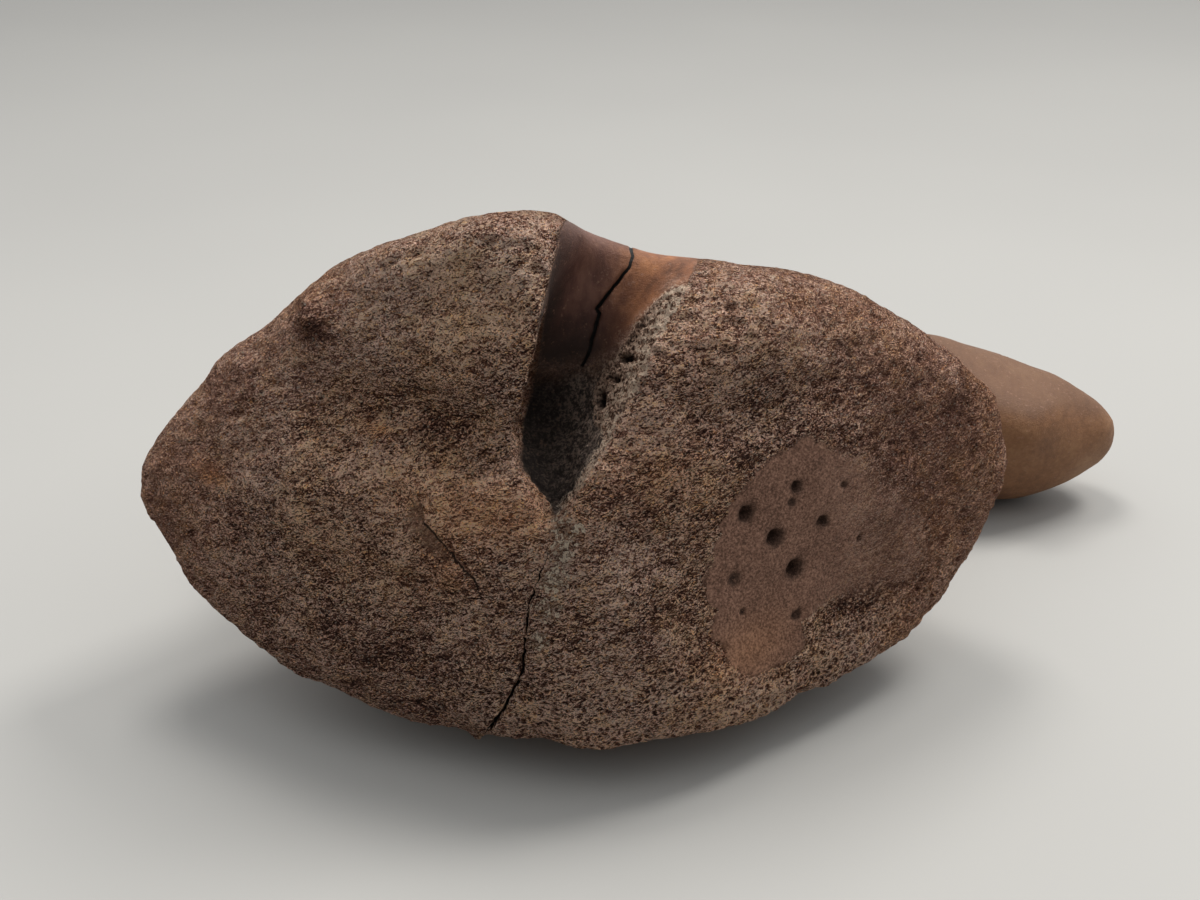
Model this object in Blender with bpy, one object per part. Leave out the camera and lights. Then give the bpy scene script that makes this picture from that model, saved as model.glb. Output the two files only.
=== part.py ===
"""A hadrosaur's left coracoid, fossilised: one solid piece of bone.

The bone lies with its medial side up. Its thick articular end faces -Y, and carries the scapular facet
on the left and the glenoid facet on the right. The coracoid foramen opens between them as a deep notch.
Behind the facets the bone narrows to a neck and spreads into a plate, with the sternal process as a hook
to the right and the biceps tubercle as a knob on the underside.
+X runs from the scapular facet towards the glenoid, +Y from the facets towards the plate's far margin,
and +Z is up. Sizes are in millimetres and are turned into metres by MM.
"""

import bmesh
import bpy
import numpy as np
from mathutils import Matrix, Vector

MM = 0.001
NODE = "coracoid"

# Meshing: the finest voxel that the fused form is rebuilt with, and the most triangles of the finished solid.
FUSE_VOXEL = 2.0
CUT_VOXEL = 1.6
MOST_TRIANGLES = 8400
WELD = 0.05

# The articular end's rim, anticlockwise as seen from the front, from the scapular facet's outer end.
RIM = (
    (-83, 30, 43), (-80, 26, 30), (-68, 18, 16.5), (-48, 8, 8.5), (-20, -2, 6.5), (0, -6, 7.5),
    (18, -3, 7.5), (34, 6, 7.5), (52, 19, 8.5), (63, 28, 12), (73, 37, 26), (76.5, 41, 44), (66, 38, 60),
    (48, 31, 73.5), (30, 24.5, 82.8), (15, 22, 85), (2, 20, 90.2), (-7, 18.5, 95.2), (-15, 17.3, 95.6),
    (-21, 18.5, 93.4), (-28, 20, 91.2), (-37, 23.5, 88.1), (-46, 27, 81.4), (-53, 29, 74.5), (-60, 30.5, 69),
    (-68, 31.5, 62.5),
)
RIM_POINTS = 96
FACE_CORE = (-3, 8, 50)
# Rings of the front face: share of the way from the core to the rim, and how far the face bulges there.
FACE_RINGS = ((0.12, 10), (0.3, 9.8), (0.5, 9), (0.68, 7.5), (0.83, 5.2), (0.94, 2.6))
# Rings behind the rim, where the end narrows to the neck: share of the rim's size, and distance back.
NECK_CORE = (-4, 20, 36)
NECK_RINGS = ((0.96, 6), (0.88, 13), (0.77, 21), (0.65, 30), (0.53, 39), (0.4, 48))

# Plan outline of the plate, from the neck's left side round the far margin to the sternal process.
PLATE_OUTLINE = (
    (-50, 44), (-56, 66), (-65, 88), (-73, 108), (-67, 126), (-45, 135), (-14, 139), (18, 138),
    (48, 133), (76, 124), (96, 109), (108, 97), (102, 87), (92, 79.5), (78, 82), (62, 82), (50, 72),
    (46, 50),
)
# The line that the plate's edges slope up towards, and its section: share of the way in, and of the thickness.
PLATE_SPINE = ((-4, 50), (-8, 84), (-12, 108), (30, 110), (66, 104), (92, 95))
PLATE_SECTION = ((0, 0), (0.05, 0.4), (0.15, 0.7), (0.32, 0.91), (0.55, 1.0), (0.8, 0.98))
PLATE_HALF_THICKNESS_AT_NECK, PLATE_HALF_THICKNESS_AT_MARGIN = 10.5, 8
PLATE_LEVEL, PLATE_RISE_AT_NECK, PLATE_DROP_AT_PROCESS = 20, 15, 6
# The hollow of the plate's upper face: centre, half-widths and depth.
PLATE_HOLLOW = ((2, 108), (44, 18), 3.5)

# Swellings that the plate carries: centre and half-sizes.
NECK = ((-4, 52, 36), (44, 32, 25))
BELLY = ((-4, 24, 24), (40, 22, 24.6))
BICEPS_TUBERCLE = ((-46, 110, 15.5), (25, 21, 16.5))
STERNAL_ROOT = ((56, 103, 22), (42, 19, 13))
STERNAL_TIP = ((80, 96, 15.2), (34.5, 15, 15.4))

# Relief of the facets: place on the face (x, z), half-widths, and height towards the front.
FACET_RELIEF = (
    ((-42, 46), (26, 24), 4.0),
    ((-20, 42), (12, 10), 3.0),
    ((-28, 63), (20, 6), -3.2),
    ((34, 50), (24, 24), 4.0),
    ((12, 44), (14, 12), 1.5),
    ((30, 62), (16, 5), -1.5),
)

# The notch between the facets, level by level: height, left and right walls, how far back it goes, and how
# far its back lies to the left of its mouth. The mouth follows the front face, which leans back.
NOTCH = (
    (47, -7.7, -6.9, -2, 0), (50, -8.8, -5.4, 7, 0), (53, -10.4, -4, 14, 1),
    (56.5, -12, -2, 20, 2), (60.5, -12.8, 1, 24, 2.5), (65.5, -12.6, 4, 25.5, 2), (71, -11.4, 6, 25, 1),
    (76, -10.2, 8.2, 25, 0), (80.5, -9, 11, 26, -1), (84.5, -7.8, 15, 28.5, -3), (88, -7, 21, 32, -7),
    (92, -5, 27, 36, -12), (104, -1.5, 44, 48, -22),
)
NOTCH_FRONT = -40
NOTCH_MOUTH = ((46, -8), (92, 18))
# The pit where the foramen opens on the underside.
LATERAL_PIT = (((-22, 64, -10), 10), ((-19, 57, 6), 7), ((-17, 51, 17), 4.5))

# The cleft below the notch, between the two facets: points on the face (x, z), width and depth.
CLEFT = ((-7, 51), (-8.2, 45), (-10, 38), (-12, 31), (-14, 24), (-17, 16), (-20, 8), (-22, 2))
CLEFT_WIDTH, CLEFT_DEPTH = 1.3, 4.0

# Pits in the glenoid facet and a nub on the scapular facet: place on the face (x, z), and radius.
GLENOID_PITS = (((24, 47), 1.1), ((29, 41.5), 1.3), ((33, 34.5), 1.4), ((37.5, 42), 1.1), ((32.5, 49.5), 1))
SCAPULAR_NUB = ((-47, 74.5), 3)

# Low lumps all over: wave numbers per millimetre along X, Y and Z, phase, and height.
LUMPS = (
    ((0.21, 0.13, 0.17), 0.4, 0.26), ((-0.12, 0.24, 0.19), 2.1, 0.24), ((0.33, -0.16, 0.28), 4.0, 0.18),
    ((0.17, 0.3, -0.35), 1.3, 0.18), ((-0.42, 0.11, 0.31), 5.2, 0.15), ((0.45, 0.38, 0.14), 3.1, 0.14),
)


def new_object(name, bm):
    """A mesh object made from a bmesh in millimetres."""
    bmesh.ops.recalc_face_normals(bm, faces=bm.faces)
    bmesh.ops.scale(bm, vec=Vector((MM, MM, MM)), verts=bm.verts)
    mesh = bpy.data.meshes.new(name)
    bm.to_mesh(mesh)
    bm.free()
    obj = bpy.data.objects.new(name, mesh)
    bpy.context.scene.collection.objects.link(obj)
    return obj


def closed_curve(points, count):
    """Points evenly spaced in parameter along the smooth closed curve through the given ones."""
    points = np.array(points, float)
    t = np.arange(count) * len(points) / count
    i = t.astype(int)
    f = (t - i)[:, None]
    a, b, c, d = (points[(i + k) % len(points)] for k in (-1, 0, 1, 2))
    return 0.5 * (2 * b + (c - a) * f + (2 * a - 5 * b + 4 * c - d) * f**2 + (3 * b - a - 3 * c + d) * f**3)


def loft_sides(bm, rings):
    """Quads from each ring of points to the next. It returns the rings of vertices."""
    loops = [[bm.verts.new(p) for p in ring] for ring in rings]
    for first, second in zip(loops, loops[1:]):
        for k in range(len(first)):
            bm.faces.new((first[k - 1], first[k], second[k], second[k - 1]))
    return loops


def loft(bm, rings):
    """A closed loft, with a fan of triangles over both ends."""
    loops = loft_sides(bm, rings)
    for loop in (loops[0], loops[-1]):
        middle = bm.verts.new(sum((v.co for v in loop), Vector()) / len(loop))
        for k in range(len(loop)):
            bm.faces.new((loop[k - 1], loop[k], middle))


def articular_end():
    """The thick end with both facets: a dome in front of the rim, and a taper behind it."""
    rim = closed_curve(RIM, RIM_POINTS)
    core, back = np.array(FACE_CORE, float), np.array(NECK_CORE, float)
    forward = np.array((0, -1, 0))
    rings = [core + share * (rim - core) + bulge * forward for share, bulge in FACE_RINGS]
    rings.append(rim)
    rings += [back + share * (rim - back) - distance * forward for share, distance in NECK_RINGS]
    bm = bmesh.new()
    loft(bm, rings)
    return new_object("articular_end", bm)


def nearest_on_line(points, line):
    """The nearest place to each plan point on a line of straight stretches."""
    line = np.array(line, float)
    best, place = np.full(len(points), np.inf), np.zeros_like(points)
    for a, b in zip(line, line[1:]):
        t = np.clip((points - a) @ (b - a) / ((b - a) @ (b - a)), 0, 1)[:, None]
        found = a + t * (b - a)
        distance = np.linalg.norm(points - found, axis=1)
        closer = distance < best
        best[closer], place[closer] = distance[closer], found[closer]
    return place


def plate_level(x, y):
    """Height of the plate's middle surface: it rises towards the neck and drops at the sternal process."""
    towards_neck = np.clip((130 - y) / 80, 0, 1)
    towards_tip = np.clip((x - 20) / 70, 0, 1)
    return PLATE_LEVEL + PLATE_RISE_AT_NECK * towards_neck**1.5 - PLATE_DROP_AT_PROCESS * towards_tip


def plate_half_thickness(y):
    towards_margin = np.clip((y - 70) / 60, 0, 1)
    thinner = PLATE_HALF_THICKNESS_AT_NECK - PLATE_HALF_THICKNESS_AT_MARGIN
    return PLATE_HALF_THICKNESS_AT_NECK - thinner * towards_margin


def dish(places):
    """How far the hollow lowers the plate's upper face at these plan points."""
    (x, y), (wide, deep), depth = PLATE_HOLLOW
    return depth * np.exp(-(((places[:, 0] - x) / wide) ** 2) - ((places[:, 1] - y) / deep) ** 2)


def plate():
    """The flat body of the bone, with rounded edges and the sternal process in its outline."""
    outline = closed_curve(PLATE_OUTLINE, 4 * len(PLATE_OUTLINE))
    spine = nearest_on_line(outline, PLATE_SPINE)
    section = [(inset, share) for inset, share in reversed(PLATE_SECTION)]
    section += [(inset, -share) for inset, share in PLATE_SECTION[1:]]
    rings = []
    for inset, share in section:
        ring = outline + inset * (spine - outline)
        level = plate_level(ring[:, 0], ring[:, 1]) + share * plate_half_thickness(ring[:, 1])
        if share > 0:
            level -= share * dish(ring)
        rings.append(np.column_stack((ring, level)))
    bm = bmesh.new()
    loops = loft_sides(bm, rings)
    for loop in (loops[0], loops[-1]):
        bmesh.ops.triangulate(bm, faces=[bm.faces.new(loop)])
    return new_object("plate", bm)


def swelling(name, centre, half_sizes):
    bm = bmesh.new()
    bmesh.ops.create_uvsphere(bm, u_segments=40, v_segments=24, radius=1.0)
    bm.transform(Matrix.Translation(centre) @ Matrix.Diagonal((*half_sizes, 1)))
    return new_object(name, bm)


def tube(name, stations):
    """A cutter of round section, whose radius changes from station to station."""
    curve = bpy.data.curves.new(name, "CURVE")
    curve.dimensions = "3D"
    curve.bevel_depth = MM
    curve.bevel_resolution = 6
    curve.resolution_u = 10
    curve.use_fill_caps = True
    spline = curve.splines.new("NURBS")
    spline.points.add(len(stations) - 1)
    for point, (centre, radius) in zip(spline.points, stations):
        point.co = (*(MM * c for c in centre), 1)
        point.radius = radius
    spline.order_u = 3
    spline.use_endpoint_u = True
    obj = bpy.data.objects.new(name, curve)
    bpy.context.scene.collection.objects.link(obj)
    return as_mesh(obj)


def as_mesh(obj):
    """The object's evaluated mesh in place of itself, with its modifiers gone."""
    graph = bpy.context.evaluated_depsgraph_get()
    mesh = bpy.data.meshes.new_from_object(obj.evaluated_get(graph))
    name = obj.name
    bpy.data.objects.remove(obj)
    made = bpy.data.objects.new(name, mesh)
    bpy.context.scene.collection.objects.link(made)
    return made


def joined(objects, name):
    """Several meshes as one mesh object, still as separate overlapping shells."""
    bm = bmesh.new()
    for obj in objects:
        bm.from_mesh(obj.data)
        bpy.data.objects.remove(obj)
    mesh = bpy.data.meshes.new(name)
    bm.to_mesh(mesh)
    bm.free()
    made = bpy.data.objects.new(name, mesh)
    bpy.context.scene.collection.objects.link(made)
    return made


def fuse(obj, voxel, passes):
    """Rebuilds the mesh in even quads, which joins overlapping shells, and rounds it off."""
    remesh = obj.modifiers.new("fuse", "REMESH")
    remesh.mode = "VOXEL"
    remesh.voxel_size = voxel * MM
    smooth = obj.modifiers.new("round", "SMOOTH")
    smooth.factor = 0.5
    smooth.iterations = passes
    return as_mesh(obj)


def cut(obj, cutter):
    boolean = obj.modifiers.new("cut", "BOOLEAN")
    boolean.operation = "DIFFERENCE"
    boolean.object = cutter
    made = as_mesh(obj)
    bpy.data.objects.remove(cutter)
    return made


def coordinates(mesh):
    co = np.empty(len(mesh.vertices) * 3)
    mesh.vertices.foreach_get("co", co)
    return co.reshape(-1, 3) / MM


def vertex_normals(mesh):
    normals = np.empty(len(mesh.vertices) * 3)
    mesh.vertex_normals.foreach_get("vector", normals)
    return normals.reshape(-1, 3)


def sculpt(obj):
    """Moves the vertices for the facets' low relief and for the lumps all over."""
    co, normals = coordinates(obj.data), vertex_normals(obj.data)
    front = np.clip(-2 * normals[:, 1], 0, 1)
    front = front * front * (3 - 2 * front)
    moved = co.copy()
    for (x, z), (wide, high), height in FACET_RELIEF:
        falloff = np.exp(-(((co[:, 0] - x) / wide) ** 2) - ((co[:, 2] - z) / high) ** 2)
        moved[:, 1] -= height * falloff * front
    for waves, phase, height in LUMPS:
        moved += (height * np.sin(co @ np.array(waves) + phase))[:, None] * normals
    obj.data.vertices.foreach_set("co", (moved * MM).ravel())
    obj.data.update()


def face_depth(obj, x, z):
    """Where a line along +Y through this place on the face first meets the bone."""
    hit, place, _, _ = obj.ray_cast(Vector((x * MM, -1, z * MM)), Vector((0, 1, 0)))
    return place.y / MM if hit else 0.0


def notch_cutter():
    """A cutter open to the front, whose level sections are round at the back."""
    rings = []
    levels, mouths = zip(*NOTCH_MOUTH)
    for z, left, right, back, shift in NOTCH:
        mouth = np.interp(z, levels, mouths)
        half = (right - left) / 2
        radius = min(half, 8)
        turn = np.linspace(0, np.pi, 15)
        across = (left + right) / 2 - shift + half * np.cos(turn)
        along = back - radius + radius * np.sin(turn)
        ring = [(right, NOTCH_FRONT), (right, mouth), *zip(across, along), (left, mouth), (left, NOTCH_FRONT)]
        rings.append([(x, y, z) for x, y in ring])
    bm = bmesh.new()
    loft(bm, rings)
    return new_object("notch", bm)


def cleft_cutter(obj):
    """A wedge that follows the cleft down the face, as deep everywhere as CLEFT_DEPTH."""
    rings = []
    for x, z in CLEFT:
        depth = face_depth(obj, x, max(z, RIM[4][2] + 4))
        half = CLEFT_WIDTH / 2
        rings.append([(x - half, depth - 12, z), (x + half, depth - 12, z), (x, depth + CLEFT_DEPTH, z)])
    bm = bmesh.new()
    loft(bm, rings)
    return new_object("cleft", bm)


def face_ball(obj, name, place, radius):
    x, z = place
    return swelling(name, (x, face_depth(obj, x, z), z), (radius, radius * 1.4, radius))


def floor_cutter():
    bm = bmesh.new()
    bmesh.ops.create_cube(bm, size=1.0)
    bm.transform(Matrix.Translation((0, 60, -50)) @ Matrix.Diagonal((400, 400, 100, 1)))
    return new_object("floor", bm)


def weld(obj):
    """Merges the vertices that cuts leave almost touching, and removes the slivers between them."""
    bm = bmesh.new()
    bm.from_mesh(obj.data)
    bmesh.ops.triangulate(bm, faces=bm.faces)
    bmesh.ops.remove_doubles(bm, verts=bm.verts, dist=WELD * MM)
    bmesh.ops.dissolve_degenerate(bm, dist=WELD * MM, edges=bm.edges)
    bmesh.ops.triangulate(bm, faces=bm.faces)
    bm.to_mesh(obj.data)
    bm.free()


def thin_out(obj):
    """Collapses edges, fewest where the surface is flat, down to the most triangles allowed."""
    obj.data.calc_loop_triangles()
    decimate = obj.modifiers.new("thin_out", "DECIMATE")
    decimate.ratio = min(1.0, MOST_TRIANGLES / len(obj.data.loop_triangles))
    decimate.use_collapse_triangulate = True
    return as_mesh(obj)


def centre(obj):
    """Puts the middle of the bone's plan extents at the origin."""
    co = coordinates(obj.data)
    middle = (co.min(axis=0) + co.max(axis=0)) / 2
    obj.data.transform(Matrix.Translation((-middle[0] * MM, -middle[1] * MM, 0)))


def coracoid():
    shells = [
        articular_end(),
        plate(),
        swelling("neck", *NECK),
        swelling("belly", *BELLY),
        swelling("biceps_tubercle", *BICEPS_TUBERCLE),
        swelling("sternal_root", *STERNAL_ROOT),
        swelling("sternal_tip", *STERNAL_TIP),
    ]
    bone = fuse(joined(shells, NODE), FUSE_VOXEL, 12)
    sculpt(bone)
    nub = face_ball(bone, "nub", *SCAPULAR_NUB)
    bone = cut(bone, tube("lateral_pit", LATERAL_PIT))
    bone = fuse(joined([bone, nub], NODE), CUT_VOXEL, 3)
    bone = cut(bone, cleft_cutter(bone))
    for k, (place, radius) in enumerate(GLENOID_PITS):
        bone = cut(bone, face_ball(bone, f"pit_{k}", place, radius))
    bone = cut(bone, notch_cutter())
    weld(bone)
    bone = cut(thin_out(bone), floor_cutter())
    weld(bone)
    centre(bone)
    return bone


def bone_material():
    material = bpy.data.materials.new("fossil_bone")
    material.use_nodes = True
    shader = material.node_tree.nodes["Principled BSDF"]
    shader.inputs["Base Color"].default_value = (0.135, 0.082, 0.052, 1)
    shader.inputs["Roughness"].default_value = 0.8
    shader.inputs["Metallic"].default_value = 0.0
    return material


def main():
    for obj in list(bpy.data.objects):
        bpy.data.objects.remove(obj)
    bone = coracoid()
    bone.name = NODE
    bone.data.materials.append(bone_material())
    bone.data.shade_flat()


main()
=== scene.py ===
"""The look of the fossil coracoid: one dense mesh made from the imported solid, then worn, pitted and painted
in code.

Measures are millimetres in the bone's own frame, whose origin lies on the table under the joint between the
two facets: +X towards the glenoid facet, +Y from the facets to the plate's far margin, +Z up.
"""

import math

import bmesh
import bpy
import numpy as np
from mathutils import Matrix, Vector


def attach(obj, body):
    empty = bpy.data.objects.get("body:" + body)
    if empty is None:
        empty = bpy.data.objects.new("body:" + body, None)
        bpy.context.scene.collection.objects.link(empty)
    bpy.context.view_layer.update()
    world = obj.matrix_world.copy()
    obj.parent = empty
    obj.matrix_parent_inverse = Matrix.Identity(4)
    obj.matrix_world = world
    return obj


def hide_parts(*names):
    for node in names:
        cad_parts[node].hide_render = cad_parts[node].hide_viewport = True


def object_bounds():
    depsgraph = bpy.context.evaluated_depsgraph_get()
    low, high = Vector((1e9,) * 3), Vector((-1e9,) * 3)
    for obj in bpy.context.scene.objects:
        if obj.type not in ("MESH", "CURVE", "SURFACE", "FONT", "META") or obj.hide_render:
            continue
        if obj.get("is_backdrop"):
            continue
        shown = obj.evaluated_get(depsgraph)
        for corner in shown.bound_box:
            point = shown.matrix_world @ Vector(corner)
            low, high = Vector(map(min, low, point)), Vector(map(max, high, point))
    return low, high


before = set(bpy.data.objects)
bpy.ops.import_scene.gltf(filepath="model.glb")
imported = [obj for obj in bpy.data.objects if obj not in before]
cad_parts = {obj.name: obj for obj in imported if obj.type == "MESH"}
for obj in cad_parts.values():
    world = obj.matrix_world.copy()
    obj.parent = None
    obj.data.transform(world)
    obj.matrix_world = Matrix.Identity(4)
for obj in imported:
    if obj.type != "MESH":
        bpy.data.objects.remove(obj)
cad_low, cad_high = (np.array(corner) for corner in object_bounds())

MM = 0.001
# Where the bone's left end and its far margin lie in its own frame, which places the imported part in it.
LEFT_END, FAR_MARGIN = -82.3, 138.6
ORIGIN = np.array((LEFT_END - cad_low[0] / MM, FAR_MARGIN - cad_high[1] / MM, 0.0))

# Mesh: the voxel of the rebuilt form, the passes that round off the solid's flat faces, how near a crack
# the faces are finest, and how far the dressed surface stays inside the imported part's box.
VOXEL = 1.36
ROUNDING_PASSES = 8
DETAIL_REACH = 1.6
BOX_GAP = 0.002

# The open bone: the size of its grains, how far above a place the relief is looked at to tell whether the
# place is on a grain's or a clump's upper side, which is painted lighter as light from above would make it,
# and by how many degrees its streaks rise to the right.
GRAIN = 0.26
GRAIN_LIFT, CLUMP_LIFT = 0.16, 0.5
STREAK_TILT = 20
# Near black: painted shade for cracks and deep holes.
BLACK = (0.006, 0.005, 0.004)

# The articular end's rim, anticlockwise as seen from the front, as in the solid.
RIM = (
    (-83, 30, 43), (-80, 26, 30), (-68, 18, 16.5), (-48, 8, 8.5), (-20, -2, 6.5), (0, -6, 7.5),
    (18, -3, 7.5), (34, 6, 7.5), (52, 19, 8.5), (63, 28, 12), (73, 37, 26), (76.5, 41, 44), (66, 38, 60),
    (48, 31, 73.5), (30, 24.5, 82.8), (15, 22, 85), (2, 20, 90.2), (-7, 18.5, 95.2), (-15, 17.3, 95.6),
    (-21, 18.5, 93.4), (-28, 20, 91.2), (-37, 23.5, 88.1), (-46, 27, 81.4), (-53, 29, 74.5), (-60, 30.5, 69),
    (-68, 31.5, 62.5),
)
RIM_MIDDLE = (-3, 50)
# Stands for a place that a line or an outline doesn't reach.
FAR = 20

# Lines on the bone. The crack, and the outlines in and round the notch, are laid out on a plane that leans
# back by LEAN, so that they keep their shapes over the saddle: x, then the height along that plane. The
# cleft and the scratch are given as x, y and z.
LEAN = math.radians(28)
CRACK = (
    (5, 92), (5.1, 88), (5.4, 86.7), (4.9, 85), (3.9, 83.7), (2.8, 82.3), (1.3, 80.5), (0, 78.8), (-0.7, 78),
    (-0.2, 77.2), (-0.5, 76.3), (-1, 74.6), (-1.5, 73), (-1.8, 71.5), (-2.5, 70), (-3.2, 68.7),
)
CLEFT = (
    (-6.8, 0, 50), (-7.2, -1.2, 48), (-8.6, -3.8, 44.5), (-10.4, -5.4, 39.7), (-11.8, -6.2, 35),
    (-12.3, -7, 30), (-12.9, -7, 24.2), (-15.8, -5.6, 16.5), (-19.3, -3.6, 9.5), (-22, -1, 4.5),
)
# The solid's own, straighter cleft, which is filled before the fine one is cut: its course, the filling's
# radius, and how far into the bone the filling lies.
WIDE_CLEFT = (
    (-6.8, 0, 50), (-6.9, -1.2, 48), (-7.6, -3.8, 44.5), (-8.6, -5.4, 39.7), (-9.6, -6.2, 35), (-11, -7, 30),
    (-12.9, -7, 24.2), (-15.8, -5.6, 16.5), (-19, -3.6, 9.5), (-21.5, -1, 4.5),
)
FILLING_RADIUS = 1.1
FILLING_SINK = (0, 2.0, 0.6)
SCRATCH = ((-28.4, 1.2, 48.4), (-25.6, -1.1, 45.7), (-22.7, -3.4, 42.8), (-19.7, -4.5, 39.2))
NOTCH_LEFT = (
    (-5, 93), (-6.4, 89.5), (-6.9, 86.5), (-7.8, 83), (-8.5, 79.5), (-9.6, 75), (-10.4, 70), (-11.3, 66.5),
    (-12.2, 62.5), (-12.9, 59.5), (-13.3, 56.5), (-13.2, 54), (-12.7, 52), (-11.8, 50), (-10.8, 48.5),
    (-9.7, 47.5), (-8.9, 46.5), (-8, 45.5), (-7.3, 44),
)
NOTCH_RIGHT = (
    (-5.6, 45.5), (-4, 47.5), (-2.7, 49.4), (-1.6, 51.2), (-0.3, 53.2), (0.5, 54.4), (1.4, 56.3), (2.4, 58.7),
    (3.8, 61.4), (5.3, 63.4), (7.1, 66.6), (8.2, 70.2), (9.5, 73), (11.4, 75.7), (12.7, 78.6), (14.4, 81.6),
    (16.5, 86),
)
NOTCH = (*NOTCH_LEFT, *NOTCH_RIGHT, (17, 104), (-5, 104))
# The crumbly matrix's own left boundary, from its top down.
MATRIX_LEFT = (
    (11, 80.3), (8.9, 78.6), (7.3, 76.7), (5.7, 74.7), (4.4, 72.5), (3, 70.2), (0.8, 68.4), (-0.6, 66),
    (-1, 62), (-0.8, 59), (0.4, 57.2), (-0.5, 55), (-1.3, 53.6), (-2.6, 51.5), (-3.7, 49.8), (-5, 47.8),
    (-6.6, 45.8),
)
MATRIX = (*MATRIX_LEFT, *NOTCH_RIGHT[:-1])
# Small cavities in the matrix: their middles on the leaning plane, and half-widths.
CAVITIES = (((0.2, 63), (0.8, 1.8)), ((4.2, 69.6), (1.1, 0.7)), ((2.6, 66.2), (0.6, 0.6)))
# Where the notch's smooth wall ends and the dark matrix below it begins.
WALL_FOOT = ((-12, 66.5), (-7, 67), (-3.5, 68), (1.5, 68.7), (3.3, 71), (5, 73), (11, 80))
# Clusters of pale grains beside the cleft, under the notch's tip: their middles on the leaning plane, and
# radii.
GRAINS = (
    ((-6.5, 44.5), 1.6), ((-5.5, 41.5), 2.2), ((-6, 38), 1.8), ((-7.5, 34), 1.8), ((-8.5, 29), 1.6),
    ((-10, 24), 1.2),
)
# The glenoid facet's smooth patch, as x and z.
PATCH = (
    (34, 58), (29.5, 56), (25, 54), (23, 51.5), (20.7, 49), (19.5, 46.5), (18, 41), (17, 35.5), (18.8, 31.5),
    (18, 28), (20.4, 26), (21.3, 22.5), (25.6, 18.5), (31.6, 18.3), (35.4, 20), (34.3, 24.8), (39.3, 26),
    (47, 24.2), (56, 24), (57, 29), (56.4, 36.5), (50.7, 44), (45.2, 50.5), (38.6, 55),
)

# Round pits of the glenoid facet: x, z, radius and depth.
PITS = (
    (24, 47.1, 1.25, 2.2), (28.9, 41.8, 1.4, 2.6), (32.8, 34.7, 1.5, 2.8), (37.5, 42, 1.0, 1.6),
    (32.5, 49.7, 0.95, 1.5), (31.7, 47.1, 0.6, 0.5), (22.2, 36.3, 0.9, 0.5), (33.5, 26.2, 0.8, 0.8),
    (23.6, 30.1, 0.4, 0.4), (41, 47.6, 0.5, 0.6), (44.5, 36.5, 0.5, 0.5),
)

# Stains and painted light and shade on the front: middle as x and z, half-widths, how much darker (-) or
# lighter (+), and how much more ochre. Some are the bone's own stains; others are painted light and shade:
# the lighter spots high on the facets, and the darker ones in their hollows and at the notch's left edge.
STAINS_AND_PAINTED_LIGHT = (
    ((-18, 50.5), (13, 5), 0.5, 1.0), ((-32, 62.5), (13, 4.5), -1.0, 0.1), ((-18, 61), (9, 3.5), 0.1, 0.1),
    ((-27, 82), (17, 8), 1.6, 0), ((-44, 70), (12, 7), 0.4, 0), ((8, 57), (11, 6), 0.2, 0.5),
    ((25, 65), (13, 4), -0.3, 0), ((24, 76), (18, 5), 0.1, 0.2), ((60, 50), (11, 16), -1.2, 0),
    ((42, 62), (8, 6), -0.7, 0), ((45, 24), (9, 4), -1.1, 0), ((19, 58), (7, 4), -0.9, 0),
    ((19, 70), (8, 4), 0.5, 0), ((-44, 28), (16, 7), -0.4, 0), ((-28, 26), (18, 6), -0.7, 0),
    ((-34, 16), (18, 6), -0.8, 0), ((-36, 53), (8, 4), 0.2, 0.3), ((-36.6, 59.9), (2.6, 1.2), 0.7, 1.0),
    ((25, 23), (8, 6), 0.4, 0.9), ((-66, 47), (3.5, 2), 0.4, 0.9), ((20, 12), (22, 5), 0.5, 0),
    ((-72, 44), (8, 12), 0.4, 0.15), ((50, 36), (8, 9), -0.6, 0), ((-47.3, 74), (3.2, 2.7), -3.4, 0),
    ((-24, 42), (4, 5), -0.3, 0.5), ((-10.5, 77), (2.5, 9), -1.6, 0), ((-38, 43), (12, 5), 0.5, 0),
    ((10, 44), (5, 5), -0.5, 0), ((10, 29), (5, 4), -0.4, 0),
)

# Swells (+) and hollows (-) of the facets: middle as x and z, half-widths and height.
SWELLS = (
    ((-33, 64), (12, 4), -1.3), ((-18, 60.5), (9, 4.5), -1.1), ((-22, 53), (15, 4.5), 1.4),
    ((23, 64.5), (13, 4.5), -1.4), ((24, 74), (17, 5), 0.8), ((-40, 74), (16, 5), 0.7),
    ((55, 52), (9, 7), -0.8), ((-30, 36), (18, 5), -0.9), ((-47.5, 72.5), (3.2, 1.6), -1.0),
    ((8, 50), (10, 6), 0.6), ((-52, 50), (12, 5), 0.8),
)


# --- noise -------------------------------------------------------------------------------------------------

# Random directions and numbers that the cells of the noise draw from.
GRADIENTS = np.random.RandomState(7).normal(size=(4096, 3))
GRADIENTS /= np.linalg.norm(GRADIENTS, axis=1)[:, None]
JITTER = np.random.RandomState(11).random_sample((4096, 4))


def lattice(cell, seed):
    """A repeatable number from 0 to 4095 for each whole-numbered cell."""
    mixed = (cell[:, 0] * 73856093) ^ (cell[:, 1] * 19349663) ^ (cell[:, 2] * 83492791) ^ (seed * 2654435)
    mixed = (mixed ^ (mixed >> 13)) * 1274126177
    return (mixed ^ (mixed >> 16)) & 4095


def noise(places, size, seed=0):
    """Smooth noise, mostly from -1 to 1, whose lumps are about this size."""
    q = places / size
    cell = np.floor(q).astype(np.int64)
    f = q - cell
    fade = f * f * f * (f * (f * 6 - 15) + 10)
    total = np.zeros(len(q))
    for corner in np.ndindex(2, 2, 2):
        corner = np.array(corner)
        weight = np.prod(np.where(corner == 1, fade, 1 - fade), axis=1)
        gradient = GRADIENTS[lattice(cell + corner, seed)]
        total += weight * np.einsum("ij,ij->i", gradient, f - corner)
    return 1.6 * total


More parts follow.
